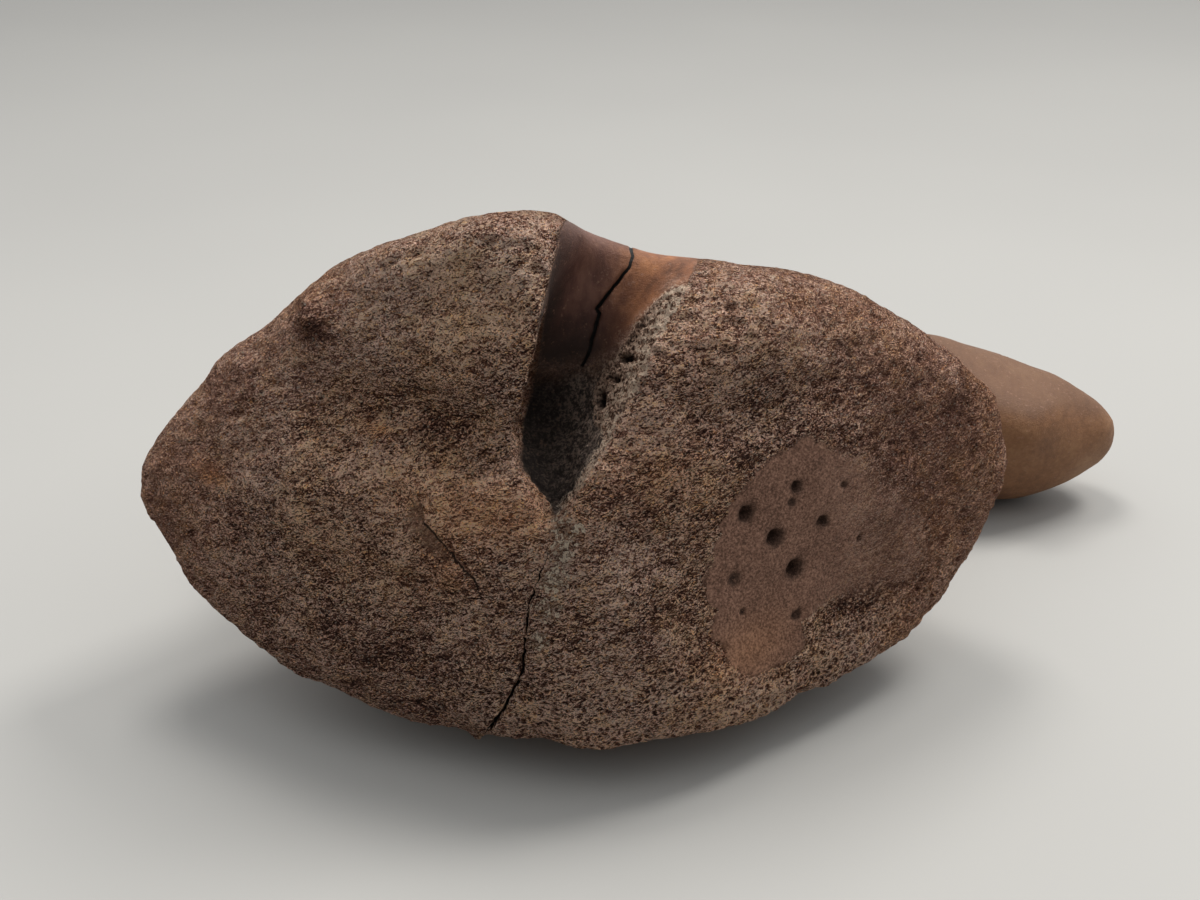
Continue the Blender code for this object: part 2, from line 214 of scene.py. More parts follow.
def cells(places, size, seed=0):
    """Distance to the nearest of scattered points, over their spacing, and a number from 0 to 1 for it."""
    q = places / size
    cell = np.floor(q).astype(np.int64)
    nearest, owner = np.full(len(q), 9.0), np.zeros(len(q))
    for step in np.ndindex(3, 3, 3):
        there = cell + np.array(step) - 1
        jitter = JITTER[lattice(there, seed)]
        distance = np.linalg.norm(there + jitter[:, :3] - q, axis=1)
        closer = distance < nearest
        nearest[closer], owner[closer] = distance[closer], jitter[closer, 3]
    return nearest, owner


def smoothstep(low, high, x):
    t = np.clip((x - low) / (high - low), 0, 1)
    return t * t * (3 - 2 * t)


# --- distances ---------------------------------------------------------------------------------------------


def from_line(places, line):
    """Distance to a line of straight stretches, and how far along it, from 0 to 1."""
    line = np.array(line, float)
    best, along = np.full(len(places), 1e9), np.zeros(len(places))
    for k, (a, b) in enumerate(zip(line, line[1:])):
        t = np.clip((places - a) @ (b - a) / ((b - a) @ (b - a)), 0, 1)
        distance = np.linalg.norm(places - a - t[:, None] * (b - a), axis=1)
        closer = distance < best
        best[closer], along[closer] = distance[closer], ((k + t) / (len(line) - 1))[closer]
    return best, along


def inside_outline(x, z, outline):
    """Distance to a closed outline on the front, positive inside."""
    points = np.array(outline, float)
    distance, _ = from_line(np.column_stack((x, z)), np.vstack((points, points[:1])))
    within = np.zeros(len(x), bool)
    for (xa, za), (xb, zb) in zip(points, np.roll(points, -1, axis=0)):
        if za != zb:
            within ^= ((za > z) != (zb > z)) & (x < (xb - xa) * (z - za) / (zb - za) + xa)
    return np.where(within, distance, -distance)


def leaned(p):
    """Places on the plane that leans back: x, and the height along the plane."""
    return np.column_stack((p[:, 0], p[:, 1] * math.sin(LEAN) + p[:, 2] * math.cos(LEAN)))


def in_notch_outline(p):
    """Distance into the notch's outline, only near enough to the front to belong to it."""
    inward = inside_outline(*leaned(p).T, NOTCH)
    return np.where((p[:, 1] < 42) & (p[:, 2] > 40), inward, -FAR)


def across_line(across, along, distance, line_across, line_along):
    """A distance signed by the side of the line a place lies on, so that it blends well between vertices."""
    order = np.argsort(line_along)
    line = np.interp(along, np.array(line_along, float)[order], np.array(line_across, float)[order])
    return np.where(across > line, distance, -distance)


def from_crack(p):
    """Distance from the crack, on the notch's wall: negative on its left."""
    flat = leaned(p)
    wall = (p[:, 1] > 14) & (p[:, 1] < 42) & (p[:, 2] > 55)
    distance = np.where(wall, from_line(flat, CRACK)[0], FAR)
    return across_line(flat[:, 0], flat[:, 1], distance, *zip(*CRACK))


def from_cleft(p):
    """Distance from the cleft, negative on its left, and how far down it."""
    distance, down = from_line(p, CLEFT)
    x, _, z = zip(*CLEFT)
    return across_line(p[:, 0], p[:, 2], distance, x, z), down


def from_scratch(p):
    """Distance from the scratch, negative on its left, and how far along it."""
    distance, along = from_line(p, SCRATCH)
    x, _, z = zip(*SCRATCH)
    return across_line(p[:, 0], p[:, 2], distance, x, z), along


def behind_rim(p):
    """How far each place lies behind the rim's own depth in its direction from the facets' middle."""
    x, y, z = np.array(RIM, float).T
    turn = np.arctan2(z - RIM_MIDDLE[1], x - RIM_MIDDLE[0])
    order = np.argsort(turn)
    here = np.arctan2(p[:, 2] - RIM_MIDDLE[1], p[:, 0] - RIM_MIDDLE[0])
    return p[:, 1] - np.interp(here, turn[order], y[order], period=2 * math.pi)


# --- mesh --------------------------------------------------------------------------------------------------


def in_part_frame(place):
    """A place in the bone's own frame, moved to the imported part's frame, in metres."""
    return tuple((np.array(place) - ORIGIN) * MM)


def coordinates(mesh):
    """The vertices' places in the bone's own frame."""
    co = np.empty(len(mesh.vertices) * 3)
    mesh.vertices.foreach_get("co", co)
    return co.reshape(-1, 3) / MM + ORIGIN


def set_coordinates(mesh, p):
    mesh.vertices.foreach_set("co", ((p - ORIGIN) * MM).ravel())
    mesh.update()


def normals_of(mesh):
    normals = np.empty(len(mesh.vertices) * 3)
    mesh.vertex_normals.foreach_get("vector", normals)
    return normals.reshape(-1, 3)


def neighbour_mean(mesh):
    """A function that averages any values at the vertices over each vertex's neighbours."""
    ends = np.empty(len(mesh.edges) * 2, np.int32)
    mesh.edges.foreach_get("vertices", ends)
    a, b = ends.reshape(-1, 2).T
    count = np.bincount(a, minlength=len(mesh.vertices)) + np.bincount(b, minlength=len(mesh.vertices))

    def mean(values):
        columns = []
        for column in values.reshape(len(values), -1).T:
            total = np.bincount(a, column[b], len(count)) + np.bincount(b, column[a], len(count))
            columns.append(total / np.maximum(count, 1))
        return np.column_stack(columns).reshape(values.shape)

    return mean


def round_off(mesh, passes):
    """Smooths the solid's flat faces away. Sharp edges stay, except inside the notch and over its saddle."""
    p, mean = coordinates(mesh), neighbour_mean(mesh)
    spread = normals_of(mesh)
    for _ in range(3):
        spread = mean(spread)
    soft = 0.06 + 0.94 * smoothstep(0.82, 0.965, np.linalg.norm(spread, axis=1))
    deep = smoothstep(0.6, 2.0, in_notch_outline(p)) * smoothstep(60, 64, p[:, 2])
    shoulder = smoothstep(11, 6, np.linalg.norm(p - (-3, 21, 93), axis=1))
    soft = np.maximum(soft, np.maximum(deep, shoulder))
    for _ in range(passes):
        p += 0.6 * soft[:, None] * (mean(p) - p)
    crease = smoothstep(9, 3, np.linalg.norm(p - (0, 24, 90), axis=1))
    for _ in range(4 * passes):
        p += 0.6 * crease[:, None] * (mean(p) - p)
    set_coordinates(mesh, p)


def refine(mesh, chosen):
    """Splits the faces for which chosen(centres) is true."""
    bm = bmesh.new()
    bm.from_mesh(mesh)
    bm.faces.ensure_lookup_table()
    centres = np.array([f.calc_center_median() for f in bm.faces]) / MM + ORIGIN
    edges = list({e for k in np.nonzero(chosen(centres))[0] for e in bm.faces[k].edges})
    bmesh.ops.subdivide_edges(bm, edges=edges, cuts=1, use_grid_fill=True)
    bmesh.ops.triangulate(bm, faces=[f for f in bm.faces if len(f.verts) > 4])
    bm.to_mesh(mesh)
    bm.free()


def near_detail(p):
    """True close to the cracks, pits and edges that need the finest faces."""
    lines = np.minimum(np.abs(from_crack(p)), from_line(p, CLEFT)[0])
    pits = np.full(len(p), 9.0)
    for x, z, radius, _ in PITS:
        pits = np.minimum(pits, np.hypot(p[:, 0] - x, p[:, 2] - z) - radius)
    edge = np.abs(in_notch_outline(p))
    matrix = inside_outline(*leaned(p).T, MATRIX)
    near = (lines < DETAIL_REACH) | (pits < 0.8) | ((edge < 1.0) & (p[:, 1] < 22)) | (matrix > -0.6)
    return near & (p[:, 1] < 34)


def cleft_filler():
    """A thin rod in the solid's cleft, so that the form is rebuilt whole and the cleft is cut again finer."""
    curve = bpy.data.curves.new("filler", "CURVE")
    curve.dimensions = "3D"
    curve.bevel_depth = FILLING_RADIUS * MM
    curve.use_fill_caps = True
    spline = curve.splines.new("POLY")
    spline.points.add(len(WIDE_CLEFT) - 1)
    for point, place in zip(spline.points, WIDE_CLEFT):
        point.co = (*in_part_frame(np.add(place, FILLING_SINK)), 1)
    rod = bpy.data.objects.new("filler", curve)
    bpy.context.scene.collection.objects.link(rod)
    return rod


def evaluated(obj):
    return bpy.data.meshes.new_from_object(obj.evaluated_get(bpy.context.evaluated_depsgraph_get()))


def dense_form(node):
    """The solid's shape as an even mesh, finer on the front and finest round its small features."""
    bm = bmesh.new()
    bm.from_mesh(node.data)
    rod = cleft_filler()
    bm.from_mesh(evaluated(rod))
    bpy.data.objects.remove(rod)
    whole = bpy.data.meshes.new("whole")
    bm.to_mesh(whole)
    bm.free()
    shape = bpy.data.objects.new("whole", whole)
    bpy.context.scene.collection.objects.link(shape)
    remesh = shape.modifiers.new("even", "REMESH")
    remesh.mode = "VOXEL"
    remesh.voxel_size = VOXEL * MM
    mesh = evaluated(shape)
    bpy.data.objects.remove(shape)
    round_off(mesh, ROUNDING_PASSES)
    refine(mesh, lambda p: (behind_rim(p) < 3) | (in_notch_outline(p) > -1))
    refine(mesh, near_detail)
    return mesh


def tilted(p, degrees, stretch):
    """Places turned in the plane of the facets, so that noise on them runs in streaks at this angle."""
    c, s = math.cos(math.radians(degrees)), math.sin(math.radians(degrees))
    return np.column_stack(((c * p[:, 0] + s * p[:, 2]) / stretch, p[:, 1], c * p[:, 2] - s * p[:, 0]))


class Skin:
    """What the surface is made of at each vertex: distances in millimetres, and shares from 0 to 1."""

    def __init__(self, mesh):
        self.p, self.normals = coordinates(mesh), normals_of(mesh)
        self.x, self.y, self.z = self.p.T
        self.flat = leaned(self.p)
        self.level = self.flat[:, 1]
        self.back = behind_rim(self.p)
        self.notch = in_notch_outline(self.p)
        self.patch = np.where(self.back < 12, inside_outline(self.x, self.z, PATCH), -FAR)
        self.find_lines()
        self.find_matrix()
        self.find_grains()
        self.share_out()

    def find_lines(self):
        """Signed distances from the crack, the cleft and the scratch, whose courses are a little uneven."""
        jitter = np.column_stack([noise(self.p, 1.6, seed) for seed in (31, 32, 33)])
        self.crack = from_crack(self.p + 0.12 * jitter)
        self.cleft, self.down = from_cleft(self.p + 0.3 * jitter)
        self.scratch, along = from_scratch(self.p + 0.4 * jitter)
        beside = smoothstep(-3.6, -2.2, self.scratch) * smoothstep(0.2, -0.4, self.scratch)
        self.scar = beside * smoothstep(0.7, 0.3, along)

    def find_matrix(self):
        """The crumbly matrix along the notch, with its cavities."""
        self.matrix = np.where(self.notch > -2, inside_outline(self.x, self.level, MATRIX), -FAR)
        self.matrix_rim, _ = from_line(self.flat, NOTCH_RIGHT)
        self.cavity = np.zeros(len(self.p))
        for (x, level), (wide, tall) in CAVITIES:
            away = np.hypot((self.x - x) / wide, (self.level - level) / tall)
            self.cavity = np.maximum(self.cavity, smoothstep(1.25, 0.6, away))
        self.cavity *= self.notch > 0

    def find_grains(self):
        """Distance into the clusters of pale grains, which are on the front only."""
        inward = np.full(len(self.p), -9.0)
        for (x, level), radius in GRAINS:
            inward = np.maximum(inward, radius - np.hypot(self.x - x, self.level - level))
        self.grains = np.where(self.y < 12, inward, -9)

    def share_out(self):
        """How far each place belongs to the patch, the notch, its wall, the crumbs, the smooth outer bone and
        the open bone."""
        ragged = self.patch + 0.5 * noise(self.p, 3.0, 1) + 0.35 * noise(self.p, 1.1, 2)
        self.in_patch = smoothstep(-0.15, 0.25, ragged)
        self.in_notch = smoothstep(-0.1, 0.5, self.notch)
        above_foot = self.level - np.interp(self.x, *zip(*WALL_FOOT)) + 1.2 * noise(self.p, 4, 3)
        self.wall = self.in_notch * smoothstep(-2.5, 4.0, above_foot) * smoothstep(0.4, -0.3, self.matrix)
        self.crumbs = smoothstep(-0.3, 0.5, self.matrix + 0.5 * noise(self.p, 2.2, 4))
        outer = smoothstep(4.5, 8.0, self.back + 1.8 * noise(self.p, 7, 5)) * (1 - self.in_notch)
        self.cortex = np.maximum(outer, self.wall)
        self.spongy = np.clip((1 - self.cortex) * (1 - self.in_patch) * (1 - self.crumbs), 0, 1)


def oval(skin, middle, half_widths):
    """A soft oval spot on the front, 1 in its middle."""
    (x, z), (wide, tall) = middle, half_widths
    return np.exp(-(((skin.x - x) / wide) ** 2) - ((skin.z - z) / tall) ** 2)


def open_bone_relief(skin, streaked, lumps):
    """Lumps, billows, grain and pores, calmer near the rim."""
    billow = 0.35 - np.abs(noise(streaked, 2.2, 12))
    grain = noise(streaked, 1.3, 13)
    hole, owner = cells(streaked, 2.1, 14)
    pores = smoothstep(0.5, 0.1, hole) * smoothstep(0.45, 0.7, owner)
    rough = lumps + 0.65 * billow + 0.3 * grain - 0.6 * pores
    return rough * (1 - 0.5 * smoothstep(-3, 1, skin.back))


def outer_bone_relief(skin):
    """Low undulations with a few small pores, calmest on the notch's wall."""
    calm = 0.3 * noise(skin.p, 20, 15) + 0.12 * noise(skin.p, 7, 16) + 0.03 * noise(skin.p, 2, 17)
    hole, owner = cells(skin.p, 3.1, 18)
    calm -= 0.25 * smoothstep(0.28, 0.05, hole) * smoothstep(0.8, 0.9, owner)
    return calm * (1 - 0.7 * skin.wall)


def texture(skin):
    """The height of the texture: each kind of surface has its own."""
    streaked = tilted(skin.p, STREAK_TILT, 1.7)
    lumps = 0.4 * noise(skin.p, 9, 10) + 0.4 * noise(streaked, 4.2, 11)
    polished = 0.2 + 0.5 * lumps + 0.03 * noise(skin.p, 1.2, 19)
    bits, _ = cells(skin.p, 1.4, 20)
    crumbly = 0.5 - 0.8 * bits + 0.35 * noise(skin.p, 1.0, 21)
    height = skin.spongy * open_bone_relief(skin, streaked, lumps) + skin.cortex * outer_bone_relief(skin)
    height += (1 - skin.cortex) * skin.in_patch * polished + skin.crumbs * crumbly
    return height - 1.2 * skin.cavity


def swells(skin):
    """The shallow swells and hollows of the facets."""
    height = sum(swell * oval(skin, middle, half_widths) for middle, half_widths, swell in SWELLS)
    return height * (skin.back < 4) * (1 - skin.in_notch)


def pits(skin):
    """How deep the round pits are cut, with their worn edges, and the painted shade in and round each of
    them.
    """
    depth, ring = np.zeros(len(skin.p)), np.zeros(len(skin.p))
    uneven = 0.25 * noise(skin.p, 1.3, 22)
    for x, z, radius, full_depth in PITS:
        away = np.hypot(skin.x - x, (skin.z - z) * 0.85) + uneven
        depth += full_depth * smoothstep(radius * 1.15, radius * 0.3, away)
        depth += 0.3 * smoothstep(radius * 2.2, radius, away)
        ring = np.maximum(ring, smoothstep(radius * 1.7, radius * 0.6, away))
    on_front = skin.back < 6
    return depth * on_front, ring * on_front


def cuts(skin):
    """How deep the crack, the cleft, and the scratch with its flake scar are cut. The crack is shallow over
    the saddle, so that it doesn't notch the outline there."""
    crack = (1.2 - smoothstep(82, 86, skin.level)) * smoothstep(0.42, 0.05, np.abs(skin.crack))
    cleft = 1.5 * smoothstep(0.5, 0.05, np.abs(skin.cleft)) * smoothstep(0.2, 0.5, skin.down)
    return crack + cleft + 0.7 * smoothstep(0.9, 0.1, np.abs(skin.scratch)) + 0.5 * skin.scar


def stains_and_painted_light(skin):
    """How much lighter each place is, from stains and from painted light and shade, and how much more ochre.
    The smooth patch has a darker surround.
    """
    shade, ochre = np.zeros(len(skin.p)), np.zeros(len(skin.p))
    for middle, half_widths, lighter, warmer in STAINS_AND_PAINTED_LIGHT:
        spot = oval(skin, middle, half_widths) * (skin.back < 10)
        shade += lighter * spot
        ochre += warmer * spot
    shade -= 0.6 * smoothstep(-7, -1, skin.patch) * smoothstep(0.5, -0.5, skin.patch)
    return shade, ochre


def masks(skin):
    """What the material reads at each vertex. The notch's colours fade out behind its saddle, and the open
    bone's contrast is lower in depth, in ochre places and near the table."""
    # shade holds the stains together with painted light and shade.
    shade, ochre = stains_and_painted_light(skin)
    past_saddle = smoothstep(30, 42, skin.y)
    softer = 0.6 * smoothstep(9, 26, skin.y) + 0.35 * np.clip(ochre, 0, 1) + 0.2 * smoothstep(22, 8, skin.z)
    low_right = smoothstep(34, 16, skin.z + 5 * noise(skin.p, 9, 24)) * smoothstep(-40, -15, skin.x)
    return {
        "across": skin.x, "level": skin.level, "back": skin.back, "up": skin.normals[:, 2],
        "patch": skin.patch, "shade": shade, "ochre": ochre, "contrast": 1 - softer,
        "crack": skin.crack, "cleft": skin.cleft / (0.2 + 1.1 * skin.down), "down": skin.down,
        "scratch": skin.scratch, "scar": skin.scar, "spongy": low_right * (skin.back < 6),
        "matrix": skin.matrix, "matrix_rim": skin.matrix_rim, "cavity": skin.cavity, "grains": skin.grains,
        "wall": skin.wall * (1 - past_saddle), "inside": skin.in_notch * (1 - past_saddle),
        # corner: where painted shade darkens the notch wall's left corner.
        "corner": smoothstep(4.0, 0.3, skin.notch) * smoothstep(0, -3, skin.x),
    }


def wear(mesh):
    """Carves and roughens the surface, and stores what each place is made of."""
    skin = Skin(mesh)
    fine = texture(skin)
    pit_depth, painted_pit_shade = pits(skin)
    height = fine + swells(skin) - pit_depth - cuts(skin)
    low, high = cad_low / MM + ORIGIN, cad_high / MM + ORIGIN
    moved = skin.p + height[:, None] * skin.normals
    set_coordinates(mesh, np.clip(moved, low + BOX_GAP, high - BOX_GAP))
    for name, values in {**masks(skin), "height": fine, "pit_shade": painted_pit_shade}.items():
        mesh.attributes.new(name, "FLOAT", "POINT").data.foreach_set("value", values.astype(np.float32))


# --- material ----------------------------------------------------------------------------------------------


class Graph:
    """Short calls that add shader nodes and wire them up."""

    def __init__(self, name):
        self.material = bpy.data.materials.new(name)
        self.material.use_nodes = True
        self.tree = self.material.node_tree
        self.shader = self.tree.nodes["Principled BSDF"]

    def put(self, socket, value):
        if isinstance(value, bpy.types.NodeSocket):
            self.tree.links.new(value, socket)
        elif value is not None:
            socket.default_value = value

    def math(self, operation, a, b=None, c=None):
        node = self.tree.nodes.new("ShaderNodeMath")
        node.operation = operation
        for socket, value in zip(node.inputs, (a, b, c)):
            self.put(socket, value)
        return node.outputs[0]

    def add(self, *terms):
        """The sum of value sockets, each given alone or with its weight, about their middle of 0.5."""
        total = 0.5
        for socket, weight in terms:
            total = self.math("MULTIPLY_ADD", self.math("SUBTRACT", socket, 0.5), weight, total)
        return total

    def raised(self, total, *terms):
        """The total with more value sockets added to it, each by its weight."""
        for socket, weight in terms:
            total = self.math("MULTIPLY_ADD", socket, weight, total)
        return total

    def product(self, *factors):
        """The factors multiplied together."""
        total, *others = factors
        for factor in others:
            total = self.math("MULTIPLY", total, factor)
        return total

    def ramp(self, low, high, x, to_low=0.0, to_high=1.0):
        """x brought smoothly from the range low to high into to_low to to_high."""
        node = self.tree.nodes.new("ShaderNodeMapRange")
        node.interpolation_type = "SMOOTHSTEP"
        if low > high:
            low, high, to_low, to_high = high, low, to_high, to_low
        ends = (("Value", x), ("From Min", low), ("From Max", high), ("To Min", to_low), ("To Max", to_high))
        for key, value in ends:
            self.put(node.inputs[key], value)
        return node.outputs["Result"]

    def colours(self, x, stops):
        node = self.tree.nodes.new("ShaderNodeValToRGB")
        self.put(node.inputs["Fac"], x)
        elements = node.color_ramp.elements
        while len(elements) < len(stops):
            elements.new(0.5)
        for element, (place, colour) in zip(elements, stops):
            element.position = place
            element.color = (*colour, 1)
        return node.outputs["Color"]

    def mix(self, share, a, b, blend="MIX"):
        node = self.tree.nodes.new("ShaderNodeMix")
        node.data_type = "RGBA"
        node.blend_type = blend
        for socket, value in ((node.inputs[0], share), (node.inputs[6], a), (node.inputs[7], b)):
            self.put(socket, (*value, 1) if isinstance(value, tuple) else value)
        return node.outputs[2]

    def attribute(self, name):
        node = self.tree.nodes.new("ShaderNodeAttribute")
        node.attribute_name = name
        return node.outputs["Fac"]

    def place(self, longer=(1, 1, 1), tilt=0.0, lift=0.0):
        """The place on the bone in millimetres, drawn out along axes tilted in the facets' plane. With a lift
        it is the place that far above."""
        source = self.tree.nodes.new("ShaderNodeTexCoord")
        node = self.tree.nodes.new("ShaderNodeMapping")
        node.vector_type = "TEXTURE"
        self.put(node.inputs["Vector"], source.outputs["Object"])
        node.inputs["Location"].default_value = (0, 0, -lift * MM)
        node.inputs["Rotation"].default_value = (0, -math.radians(tilt), 0)
        node.inputs["Scale"].default_value = tuple(s * MM for s in longer)
        return node.outputs["Vector"]

    def noise(self, vector, size, detail=2.0, roughness=0.55):
        node = self.tree.nodes.new("ShaderNodeTexNoise")
        self.put(node.inputs["Vector"], vector)
        node.inputs["Scale"].default_value = 1 / size
        node.inputs["Detail"].default_value = detail
        node.inputs["Roughness"].default_value = roughness
        return node.outputs["Fac"]

    def voronoi(self, vector, size, feature="F1", output="Distance"):
        node = self.tree.nodes.new("ShaderNodeTexVoronoi")
        node.feature = feature
        self.put(node.inputs["Vector"], vector)
        node.inputs["Scale"].default_value = 1 / size
        return node.outputs[output]

    def bent(self, vector, size, amount):
        """The vector pushed about by noise, so that a pattern on it isn't regular."""
        node = self.tree.nodes.new("ShaderNodeTexNoise")
        self.put(node.inputs["Vector"], vector)
        node.inputs["Scale"].default_value = 1 / size
        centred = self.tree.nodes.new("ShaderNodeVectorMath")
        centred.operation = "SUBTRACT"
        self.put(centred.inputs[0], node.outputs["Color"])
        centred.inputs[1].default_value = (0.5, 0.5, 0.5)
        moved = self.tree.nodes.new("ShaderNodeVectorMath")
        moved.operation = "MULTIPLY_ADD"
        self.put(moved.inputs[0], centred.outputs[0])
        moved.inputs[1].default_value = (amount, amount, amount)
        self.put(moved.inputs[2], vector)
        return moved.outputs[0]

    def bump(self, height, distance, strength=1.0, normal=None):
        node = self.tree.nodes.new("ShaderNodeBump")
        self.put(node.inputs["Height"], height)
        node.inputs["Distance"].default_value = distance * MM
        node.inputs["Strength"].default_value = strength
        self.put(node.inputs["Normal"], normal)
        return node.outputs["Normal"]

    def grey(self, value):
        """A grey of this value, to multiply colours by."""
        node = self.tree.nodes.new("ShaderNodeCombineColor")
        for socket in node.inputs:
            self.put(socket, value)
        return node.outputs[0]

    def part(self, colour, channel):
        """One channel of a colour, 0 for red to 2 for blue."""
        node = self.tree.nodes.new("ShaderNodeSeparateColor")
        self.put(node.inputs[0], colour)
        return node.outputs[channel]


def grains_at(g, lift):
    """The grains' own random colours, and their relief, this far above each place."""
    streaks = g.bent(g.place((1.3, 1, 1), STREAK_TILT, lift), 1.6, 0.7)
    wavy = g.bent(streaks, 0.4, 0.28)
    grain = g.voronoi(wavy, GRAIN, output="Color")
    gap = g.ramp(0.0, 0.12, g.voronoi(wavy, GRAIN, "DISTANCE_TO_EDGE"))
    fine = g.noise(g.place(lift=lift), 0.2, 1.5, 0.75)
    medium = g.noise(streaks, 0.55, 2, 0.6)
    return grain, g.add((fine, 1.0), (medium, 0.8), (gap, 0.1), (g.part(grain, 0), 0.7))


def clumps_at(g, lift):
    """The relief of the clumps that the grains make up."""
    drawn_out = g.bent(g.place((1.8, 1, 1), STREAK_TILT, lift), 3.0, 1.5)
    return g.add((g.noise(drawn_out, 1.3, 2, 0.6), 1.0))


def painted_top_light(g, here, above, gain):
    """Painted light: high where the relief falls away upwards, which is where light from above catches it."""
    return g.math("MULTIPLY_ADD", g.math("SUBTRACT", here, above), gain, 0.5)


def with_honeycomb(g, tone):
    """The tone with the open cells and paler struts of spongy bone in its low right part."""
    cell = g.voronoi(g.bent(g.place(), 1.5, 0.9), 1.25, "DISTANCE_TO_EDGE")
    spongy = g.attribute("spongy")
    holes = g.product(g.ramp(0.14, 0.32, cell), spongy)
    struts = g.product(g.ramp(0.16, 0.02, cell), spongy)
    return g.raised(tone, (holes, -0.26), (struts, 0.30))


def granular_tone(g):
    """How light the open bone is, about 0.5, with its grains' own random colours and their relief. Painted
    light makes it paler on the grains' and clumps' upper sides and where the bone faces up.
    """
    grain, relief = grains_at(g, 0)
    _, relief_above = grains_at(g, GRAIN_LIFT)
    clumps = clumps_at(g, 0)
    # Painted light: the grains' and clumps' upper sides are made paler, as light from above would make them.
    painted_grain_light = painted_top_light(g, relief, relief_above, 0.5)
    painted_clump_light = painted_top_light(g, clumps, clumps_at(g, CLUMP_LIFT), 1.0)
    bands = g.noise(g.bent(g.place((2.6, 1, 1), tilt=18), 6, 3), 4.5, 2, 0.6)
    broad = g.noise(g.place(), 12, 3, 0.6)
    tone = g.add(
        (relief, 0.8), (painted_grain_light, 1.05), (clumps, 0.62), (painted_clump_light, 0.6), (bands, 0.7), (broad, 0.45),
    )
    # The shade attribute holds stains and painted light and shade. Painted light: the bone is made paler
    # where it faces up, as light from above would make it.
    height, shade = g.attribute("height"), g.attribute("shade")
    painted_overhead_light = g.ramp(0.1, 0.85, g.attribute("up"))
    tone = g.raised(with_honeycomb(g, tone), (height, 0.16), (shade, 0.16), (painted_overhead_light, 0.14))
    tone = g.math("MULTIPLY_ADD", g.math("SUBTRACT", tone, 0.52), g.attribute("contrast"), 0.552)
    return tone, grain, relief


def odd_grains(g, grain, colour):
    """A few grains that are pale or nearly black, whatever lies round them."""
    chance = g.part(grain, 2)
    colour = g.mix(g.ramp(0.965, 0.975, chance, 0, 0.6), colour, (0.65, 0.55, 0.46))
    return g.mix(g.ramp(0.035, 0.03, chance, 0, 0.7), colour, (0.025, 0.022, 0.022))


def granular_bone(g):
    """Open, grainy bone: small grains, each of its own tone, with painted light on their upper sides and
    painted shade in the dark gaps between. Its colour and relief."""
    tone, grain, relief = granular_tone(g)
    colour = g.colours(tone, (
        (0.05, (0.034, 0.0160, 0.0125)), (0.20, (0.064, 0.0305, 0.0230)), (0.34, (0.135, 0.0660, 0.0490)),
        (0.50, (0.285, 0.151, 0.106)), (0.61, (0.510, 0.298, 0.212)), (0.735, (0.880, 0.580, 0.430)),
        (0.85, (0.980, 0.760, 0.590)),
    ))
    hues = g.colours(g.part(grain, 1), (
        (0.0, (0.99, 0.93, 0.99)), (0.5, (1, 0.96, 0.97)), (0.9, (1.07, 0.99, 0.92)), (1.0, (1.2, 1.0, 0.72)),
    ))
    colour = odd_grains(g, grain, g.mix(1.0, colour, hues, "MULTIPLY"))
    small_tints = ((0.35, (1.0, 0.96, 0.95)), (0.5, (1, 1, 1)), (0.65, (1.04, 1.0, 0.88)))
    broad_tints = ((0.35, (1.0, 0.96, 0.94)), (0.5, (1, 1, 1)), (0.65, (1.06, 1.0, 0.88)))
    for size, tints in ((3.5, small_tints), (30, broad_tints)):
        colour = g.mix(0.8, colour, g.colours(g.noise(g.place(), size, 2), tints), "MULTIPLY")
    colour = g.mix(g.product(g.attribute("ochre"), 0.75), colour, (1.2, 0.99, 0.74), "MULTIPLY")
    return colour, relief


def outer_bone(g):
    """The smooth outer bone: warm brown, faintly streaked along the plate."""
    satin = g.noise(g.place((1, 3, 1)), 1.3, 3, 0.6)
    tone = g.add((satin, 0.5), (g.noise(g.place(), 14, 3, 0.55), 0.8), (g.noise(g.place(), 0.6), 0.25))
    colour = g.colours(tone, (
        (0.25, (0.135, 0.061, 0.029)), (0.5, (0.226, 0.107, 0.050)), (0.75, (0.31, 0.165, 0.080)),
    ))
    return g.mix(g.ramp(0.4, 0.9, g.attribute("up"), 0, 0.65), colour, (0.10, 0.050, 0.028))


def notch_wall(g):
    """The notch's smooth wall: red-brown, more orange to the right, and with painted shade making it nearly
    black at its foot and in its left corner."""
    across, level = g.attribute("across"), g.attribute("level")
    tone = g.add((g.noise(g.place((1, 1, 3)), 1.1, 3, 0.6), 0.5), (g.noise(g.place(), 7, 3, 0.55), 0.9))
    red = g.colours(tone, (
        (0.3, (0.060, 0.027, 0.021)), (0.5, (0.119, 0.054, 0.042)), (0.7, (0.190, 0.092, 0.066)),
    ))
    orange = g.mix(1.0, red, (1.9, 1.6, 0.88), "MULTIPLY")
    colour = g.mix(g.ramp(-2, 9, across), red, orange)
    colour = g.mix(g.ramp(84, 93, level, 0, 0.6), colour, (0.15, 0.075, 0.052))
    # Painted shade at the wall's foot and in its left corner.
    foot = g.product(g.ramp(81, 69, level), g.ramp(7, -3, across, 0.15, 1))
    corner = g.product(g.attribute("corner"), g.ramp(92, 78, level, 0.4, 1))
    return g.mix(g.math("MAXIMUM", foot, corner), colour, (0.034, 0.022, 0.018))


def smooth_patch(g):
    """The glenoid facet's patch: mauve tan with a fine stipple. Its colour and relief."""
    stipple = g.noise(g.place(), 0.4, 2, 0.7)
    tone = g.add((stipple, 1.35), (g.noise(g.place(), 1.4, 3, 0.6), 0.35), (g.noise(g.place(), 7, 3), 0.2))
    # The shade attribute lightens and darkens the patch: stains and painted light and shade.
    colour = g.colours(g.raised(tone, (g.attribute("shade"), 0.2)), (
        (0.25, (0.080, 0.043, 0.031)), (0.5, (0.182, 0.099, 0.069)), (0.75, (0.330, 0.190, 0.135)),
    ))
    colour = g.mix(g.product(g.attribute("ochre"), 0.6), colour, (1.14, 1.0, 0.74), "MULTIPLY")
    return colour, stipple


